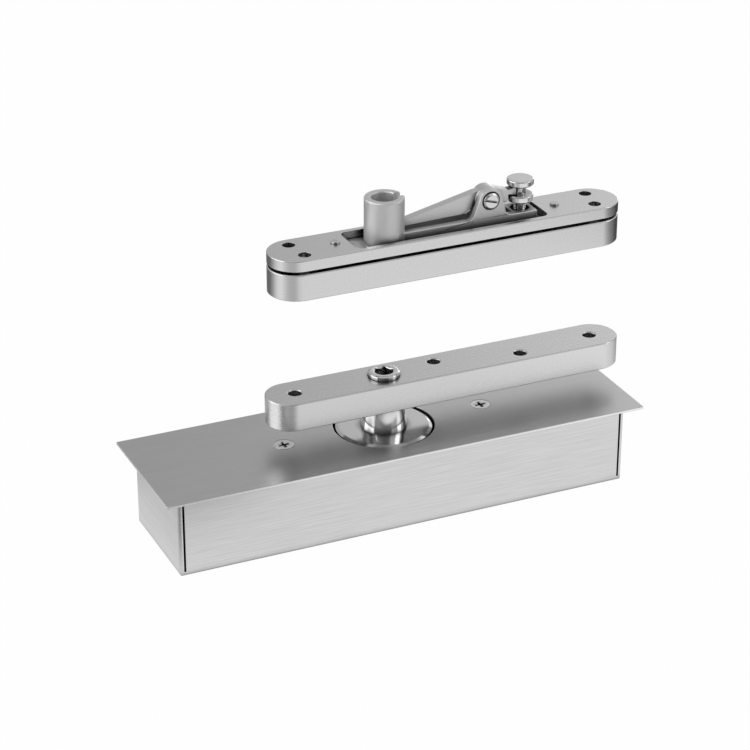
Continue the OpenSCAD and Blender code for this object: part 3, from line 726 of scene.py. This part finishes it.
@dataclass(frozen=True)
class Pool:
    """A round pool of light or shade on the floor.

    Args:
        centre: Its centre on the floor in metres.
        fade: Its level with the distance from the centre.
    """

    centre: tuple[float, float]
    fade: Fade

    def level(self, tree: NodeTree, place: bpy.types.NodeSocket) -> bpy.types.NodeSocket:
        """Draw the pool.

        Args:
            tree: The floor's material tree.
            place: The place on the floor.

        Returns:
            The pool's level.
        """
        away = tree.add("ShaderNodeVectorMath", operation="DISTANCE")
        tree.join(place, away.inputs[0])
        away.inputs[1].default_value = (*self.centre, 0.0)
        return tree.fade(away.outputs["Value"], self.fade)


@dataclass(frozen=True)
class StudioFloor:
    """The pale floor: white to the camera, shaped into light and shade for reflections.

    Args:
        half: Half of its side in metres.
        tone: Grey of the floor under the lamps, which shows the object's shadow.
        white_share: Share of plain white in what the camera and reflections see.
        reflected_level: Brightness that reflections see right before the object.
        back: Direction on the floor that leads to the back.
        to_back: Brightness along that direction.
        to_right: Brightness towards the right end.
        to_left: Brightness towards the left end.
        glows: Pools of light that are added.
        shades: Pools of shade.
    """

    half: float = 4.0
    tone: float = 0.88
    white_share: float = 0.98
    reflected_level: float = 0.92
    back: tuple[float, float] = (0.26, 0.966)
    to_back: Fade = Fade(0.02, 0.22, 1.0, 0.2)
    to_right: Fade = Fade(0.33, 0.46, 1.0, 0.2)
    to_left: Fade = Fade(-0.19, -0.13, 0.62, 1.0)
    glows: tuple[Pool, ...] = (
        Pool((-0.4, -0.04), Fade(0.0, 0.22, 0.75, 0.0)),
        Pool((0.22, -0.19), Fade(0.02, 0.12, 0.2, 0.0)),
    )
    shades: tuple[Pool, ...] = (
        Pool((-0.22, -0.085), Fade(0.04, 0.085, 0.35, 1.0)),
        Pool((-0.11, -0.175), Fade(0.04, 0.09, 0.35, 1.0)),
    )

    def build(self) -> bpy.types.Object:
        """Make the floor.

        Returns:
            The floor.
        """
        mesh = bpy.data.meshes.new("studio_floor")
        corners = [(self.half * x, self.half * y, 0.0)
                   for x, y in ((-1, -1), (1, -1), (1, 1), (-1, 1))]
        mesh.from_pydata(corners, [], [(0, 1, 2, 3)])
        floor =bpy.data.objects.new("studio_floor", mesh)
        bpy.context.scene.collection.objects.link(floor)
        mesh.materials.append(self.material())
        return floor

    def material(self) -> bpy.types.Material:
        """Make the floor's material: matt under the lamps, white where it is looked at.

        Returns:
            The material.
        """
        material, tree, output = new_material("studio_floor")
        matt = tree.add("ShaderNodeBsdfDiffuse")
        matt.inputs["Color"].default_value = (*grey(self.tone), 1.0)
        white = tree.add("ShaderNodeEmission")
        path = tree.add("ShaderNodeLightPath")
        level = tree.add("ShaderNodeMix", data_type="FLOAT")
        tree.join(path.outputs["Is Glossy Ray"], level.inputs["Factor"])
        level.inputs["A"].default_value = 1.0
        tree.join(self.reflected(tree), level.inputs["B"])
        tree.join(level.outputs["Result"], white.inputs["Strength"])
        seen = tree.math("MAXIMUM", path.outputs["Is Camera Ray"], path.outputs["Is Glossy Ray"])
        seen = tree.math("MAXIMUM", seen, path.outputs["Is Transmission Ray"])
        mix = tree.add("ShaderNodeMixShader")
        tree.join(tree.math("MULTIPLY", seen, self.white_share), mix.inputs["Fac"])
        tree.join(matt.outputs[0], mix.inputs[1])
        tree.join(white.outputs[0], mix.inputs[2])
        tree.join(mix.outputs[0], output.inputs["Surface"])
        return material

    def reflected(self, tree: NodeTree) -> bpy.types.NodeSocket:
        """Shape the brightness that reflections see on the floor.

        Args:
            tree: The floor's material tree.

        Returns:
            The brightness.
        """
        place = tree.add("ShaderNodeTexCoord").outputs["Object"]
        parts = tree.split(place)
        along = [tree.math("MULTIPLY", parts.outputs[axis], share)
                 for axis, share in zip("XY", self.back)]
        level = tree.fade(tree.math("ADD", *along), self.to_back)
        for side in (self.to_right, self.to_left):
            level = tree.math("MULTIPLY", level, tree.fade(parts.outputs["X"], side))
        for glow in self.glows:
            level = tree.math("ADD", level, glow.level(tree, place))
        for shade in self.shades:
            level = tree.math("MULTIPLY", level, shade.level(tree, place))
        return tree.math("MULTIPLY", level, self.reflected_level)


@dataclass(frozen=True)
class Studio:
    """Pale floor, soft lamps, cards and an even world.

    Args:
        world_level: Brightness of the world to everything but the camera.
        floor: The floor.
        lamps: The lamps.
        cards: The cards: back, low at the back right, left, and dark on the camera's side.
    """

    world_level: float = 0.7
    floor: StudioFloor = StudioFloor()
    lamps: tuple[Softbox, ...] = (
        Softbox("key_left", (-1.8, -1.4, 1.4), (1.2, 1.2), 14.0),
        Softbox("fill_right", (1.9, -1.2, 1.2), (1.0, 1.4), 8.0),
    )
    cards: tuple[Card, ...] = (
        Card("back_card", (-1.6, 0.9), (1.8, 0.9), 0.05, 1.6, Fade(0.53, 0.75, 0.47, 0.9)),
        Card("low_card", (0.25, 0.85), (1.2, 0.85), 0.0, 0.2, Fade(0.0, 0.35, 0.5, 3.0)),
        Card("left_card", (-0.9, -0.3), (-0.9, 0.75), 0.2, 0.9, Fade(0.0, 1.0, 2.4, 2.4)),
        Card("camera_side", (-1.526, -0.516), (0.328, -1.356), 0.12, 1.3,
             Fade(0.0, 1.0, 0.1, 0.1)),
    )

    def build(self) -> None:
        """Make the floor, the lamps, the cards and the world."""
        self.floor.build()
        for lamp in self.lamps:
            lamp.build()
        for card in self.cards:
            card.build()
        self.world()
        bpy.context.scene.view_settings.view_transform = "Standard"

    def world(self) -> None:
        """Make the world: white to the camera, an even grey to everything else."""
        world = bpy.data.worlds.new("studio_world")
        bpy.context.scene.world = world
        world.use_nodes = True
        world.node_tree.nodes.clear()
        tree = NodeTree(world.node_tree)
        around = tree.add("ShaderNodeBackground")
        around.inputs["Strength"].default_value = self.world_level
        white = tree.add("ShaderNodeBackground")
        path = tree.add("ShaderNodeLightPath")
        mix = tree.add("ShaderNodeMixShader")
        tree.join(path.outputs["Is Camera Ray"], mix.inputs["Fac"])
        tree.join(around.outputs[0], mix.inputs[1])
        tree.join(white.outputs[0], mix.inputs[2])
        output = tree.add("ShaderNodeOutputWorld")
        tree.join(mix.outputs[0], output.inputs["Surface"])


@dataclass
class Workshop:
    """Knows the frame and the finishes, and places refined pieces on their bodies.

    Args:
        finisher: Makes the materials.
    """

    # Blender's own name for the weight that the rounding follows.
    RIDGE: ClassVar[str] = "bevel_weight_edge"
    # Bend above which an edge is rounded, and bend below which two faces are merged.
    SHARP: ClassVar[float] = math.radians(28.0)
    FLAT: ClassVar[float] = math.radians(0.4)
    # Distance in metres within which two points are one.
    SAME_PLACE: ClassVar[float] = 1.0e-6
    # Pieces whose large faces are split, since one face round a hollow shades unevenly, and
    # the corners of a face that stays whole there.
    SPLIT: ClassVar[tuple[str, ...]] = ("mechanism_housing",)
    WHOLE_CORNERS: ClassVar[int] = 4
    # Faces across a rounded edge.
    ROUNDING_STEPS: ClassVar[int] = 2

    finisher: Finisher = field(default_factory=Finisher)
    slots: dict[str, str] = field(init=False)
    bodies: dict[str, str] = field(init=False)

    def __post_init__(self) -> None:
        """Read each node's material slot and body from the record."""
        record = frame["record"]
        self.slots = {part["node"]: part["material_slot"] for part in record["subparts"]}
        self.bodies = {
            node: body for body, nodes in record["behaviour"]["bodies"].items() for node in nodes
        }

    def dress(self, node: str) -> None:
        """Give a CAD node, shown as it is, the material of its slot.

        Args:
            node: Name of the CAD node.
        """
        shown = frame["nodes"][node]
        material = self.finisher.material(self.slots[node])
        if not shown.material_slots:
            shown.data.materials.append(material)
        for place in shown.material_slots:
            place.material = material
        LOG.info("dressed %s", node)

    def mesh_of(self, node: str) -> bmesh.types.BMesh:
        """Copy a CAD node's mesh, with its split vertices joined and flat faces merged.

        Args:
            node: Name of the CAD node.

        Returns:
            The editable mesh in the row frame.
        """
        shape = bmesh.new()
        shape.from_mesh(frame["nodes"][node].data)
        bmesh.ops.remove_doubles(shape, verts=shape.verts, dist=self.SAME_PLACE)
        bmesh.ops.dissolve_limit(shape, angle_limit=self.FLAT, verts=shape.verts,
                                 edges=shape.edges, delimit={"NORMAL"})
        self.mark_ridges(shape)
        if node in self.SPLIT:
            large = [face for face in shape.faces if len(face.verts) > self.WHOLE_CORNERS]
            bmesh.ops.triangulate(shape, faces=large, ngon_method="BEAUTY")
        return shape

    def mark_ridges(self, shape: bmesh.types.BMesh) -> None:
        """Mark the sharp edges, which are the only ones that get rounded.

        Args:
            shape: The mesh, before its large faces are split.
        """
        weights = shape.edges.layers.float
        ridge = weights.get(self.RIDGE) or weights.new(self.RIDGE)
        for edge in shape.edges:
            sharp = edge.is_manifold and edge.calc_face_angle(0.0) > self.SHARP
            edge.smooth = not sharp
            edge[ridge] = float(sharp)

    def place(self, name: str, shape: bmesh.types.BMesh, node: str) -> bpy.types.Object:
        """Turn a mesh into a piece that stands for a CAD node and rides on its body.

        Args:
            name: Name of the piece.
            shape: The mesh, which is freed.
            node: CAD node that gives the body and the finish.

        Returns:
            The piece.
        """
        mesh = bpy.data.meshes.new(name)
        shape.to_mesh(mesh)
        shape.free()
        mesh.materials.clear()
        mesh.materials.append(self.finisher.material(self.slots[node]))
        for face in mesh.polygons:
            face.use_smooth = True
            face.material_index = 0
        piece = bpy.data.objects.new(name, mesh)
        bpy.context.scene.collection.objects.link(piece)
        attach(piece, self.bodies[node])
        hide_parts(node)
        LOG.info("placed %s: %d faces", name, len(mesh.polygons))
        return piece

    def round_edges(self, piece: bpy.types.Object, width_mm: float) -> None:
        """Round the sharp edges of a piece, and let its large faces decide the shading.

        Args:
            piece: The piece.
            width_mm: Width of the rounding in millimetres.
        """
        bevel = piece.modifiers.new("rounded_edges", "BEVEL")
        bevel.width = width_mm * MM
        bevel.segments = self.ROUNDING_STEPS
        bevel.limit_method = "WEIGHT"
        bevel.use_clamp_overlap = False
        even = piece.modifiers.new("even_normals", "WEIGHTED_NORMAL")
        even.mode = "FACE_AREA"
        even.keep_sharp = True

    def refine(self, node: str, width_mm: float) -> bpy.types.Object:
        """Show a CAD node with rounded edges.

        Args:
            node: Name of the CAD node.
            width_mm: Width of the rounding in millimetres.

        Returns:
            The piece that stands for the node.
        """
        piece = self.place(f"fine_{node}", self.mesh_of(node), node)
        self.round_edges(piece, width_mm)
        return piece


@dataclass
class SubAssembly:
    """A group of nodes that are dressed together.

    Args:
        shop: The workshop.
        plain: Nodes that are shown as they are.
        rounded: Nodes that are shown with rounded edges, and the width of the rounding in mm.
    """

    shop: Workshop
    plain: tuple[str, ...] = ()
    rounded: dict[str, float] = field(default_factory=dict)

    def build(self) -> None:
        """Dress and refine the nodes."""
        for node in self.plain:
            self.shop.dress(node)
        for node, width_mm in self.rounded.items():
            self.shop.refine(node, width_mm)


@dataclass
class FloorCase(SubAssembly):
    """Sheet-steel case and its cover plate."""

    rounded: dict[str, float] = field(
        default_factory=lambda: {"cement_case": 0.2, "cover_plate": 0.25, "cover_screws": 0.4}
    )


@dataclass
class FloorBearing(SubAssembly):
    """Everything inside the case."""

    plain: tuple[str, ...] = (
        "levelling_screws", "clamp_studs", "clamp_washers", "clamp_nuts", "thrust_race_lower",
        "thrust_balls", "ball_cage", "thrust_race_upper", "radial_bush", "bearing_cap",
        "cap_screws", "seal_ring", "bearing_housing",
    )


@dataclass
class BottomArm(SubAssembly):
    """Spindle, arm and the screw that ties them."""

    plain: tuple[str, ...] = ("spindle",)
    rounded: dict[str, float] = field(
        default_factory=lambda: {"bottom_arm": 0.12, "arm_screw": 0.25}
    )


@dataclass
class TopPlates(SubAssembly):
    """The two plates of the top pivot and what lies between them."""

    plain: tuple[str, ...] = ("door_bush", "wear_washer")
    rounded: dict[str, float] = field(
        default_factory=lambda: {"door_plate": 0.12, "frame_plate": 0.12}
    )


@dataclass
class BeamMechanism(SubAssembly):
    """Housing, pin, walking beam and adjusting screw.

    Args:
        pitch_mm: Height of one turn of the adjusting screw's thread.
        thread_depth_mm: Depth of its groove.
        thread_radius_mm: Radius over its crests.
        run_out_mm: Length over which the groove ends below the discs.
        neck_mm: Distance from the screw's top to its thread.
        disc_edge_mm: Rounding of its discs.
        steps_round: Number of points round the thread.
        steps_pitch: Number of rings in one turn.
    """

    plain: tuple[str, ...] = ("pivot_pin",)
    rounded: dict[str, float] = field(
        default_factory=lambda: {
            "mechanism_housing": 0.4, "walking_beam": 0.45, "beam_screw": 0.15,
            "tongue_screws": 0.25,
        }
    )
    pitch_mm: float = 1.25
    thread_depth_mm: float = 0.55
    thread_radius_mm: float = 3.5
    run_out_mm: float = 0.6
    neck_mm: float = 13.7
    disc_edge_mm: float = 0.15
    steps_round: int = 64
    steps_pitch: int = 10

    def build(self) -> None:
        """Dress the nodes and cut the adjusting screw's thread."""
        super().build()
        self.adjusting_screw()

    def adjusting_screw(self) -> bpy.types.Object:
        """Show the adjusting screw with a real thread below its discs.

        Returns:
            The piece that stands for the screw.
        """
        low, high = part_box("adjusting_screw")
        foot = Vector(((low.x + high.x) / 2, 0.0, low.z))
        length = high.z - self.neck_mm * MM - low.z
        shape = self.shop.mesh_of("adjusting_screw")
        bmesh.ops.bisect_plane(shape, geom=[*shape.verts, *shape.edges, *shape.faces],
                               plane_co=(0, 0, foot.z + length), plane_no=(0, 0, 1),
                               clear_inner=True)
        rows = int(length / (self.pitch_mm * MM) * self.steps_pitch)
        rings = [self.thread_ring(shape, foot, length * row / rows, length)
                 for row in range(rows + 1)]
        for lower, upper in zip(rings, rings[1:]):
            for step in range(self.steps_round):
                after = (step + 1) % self.steps_round
                shape.faces.new((lower[step], lower[after], upper[after], upper[step]))
        shape.faces.new(tuple(reversed(rings[0])))
        bmesh.ops.recalc_face_normals(shape, faces=shape.faces)
        piece = self.shop.place("fine_adjusting_screw", shape, "adjusting_screw")
        self.shop.round_edges(piece, self.disc_edge_mm)
        return piece

    def thread_ring(
        self, shape: bmesh.types.BMesh, foot: Vector, height: float, length: float
    ) -> list[bmesh.types.BMVert]:
        """Add one ring of points of the thread.

        Args:
            shape: The screw's mesh.
            foot: Lowest point of the screw's axis.
            height: The ring's height over it in metres.
            length: Length of the thread in metres.

        Returns:
            The ring's points.
        """
        fade = min(1.0, (length - height) / (self.run_out_mm * MM))
        ring = []
        for step in range(self.steps_round):
            angle = 2 * math.pi * step / self.steps_round
            turn = (height / (self.pitch_mm * MM) - step / self.steps_round) % 1.0
            cut = self.thread_depth_mm * MM * abs(2 * turn - 1) * fade
            reach = self.thread_radius_mm * MM - cut
            spot = foot + Vector((reach * math.cos(angle), reach * math.sin(angle), height))
            ring.append(shape.verts.new(spot))
        return ring


def main() -> None:
    """Build the studio and dress the set."""
    logging.basicConfig(level=logging.INFO, format="%(name)s: %(message)s")
    PhotoCamera().build()
    Studio().build()
    shop = Workshop()
    for part in (FloorCase, FloorBearing, BottomArm, TopPlates, BeamMechanism):
        part(shop).build()


if __name__ == "__main__":
    main()
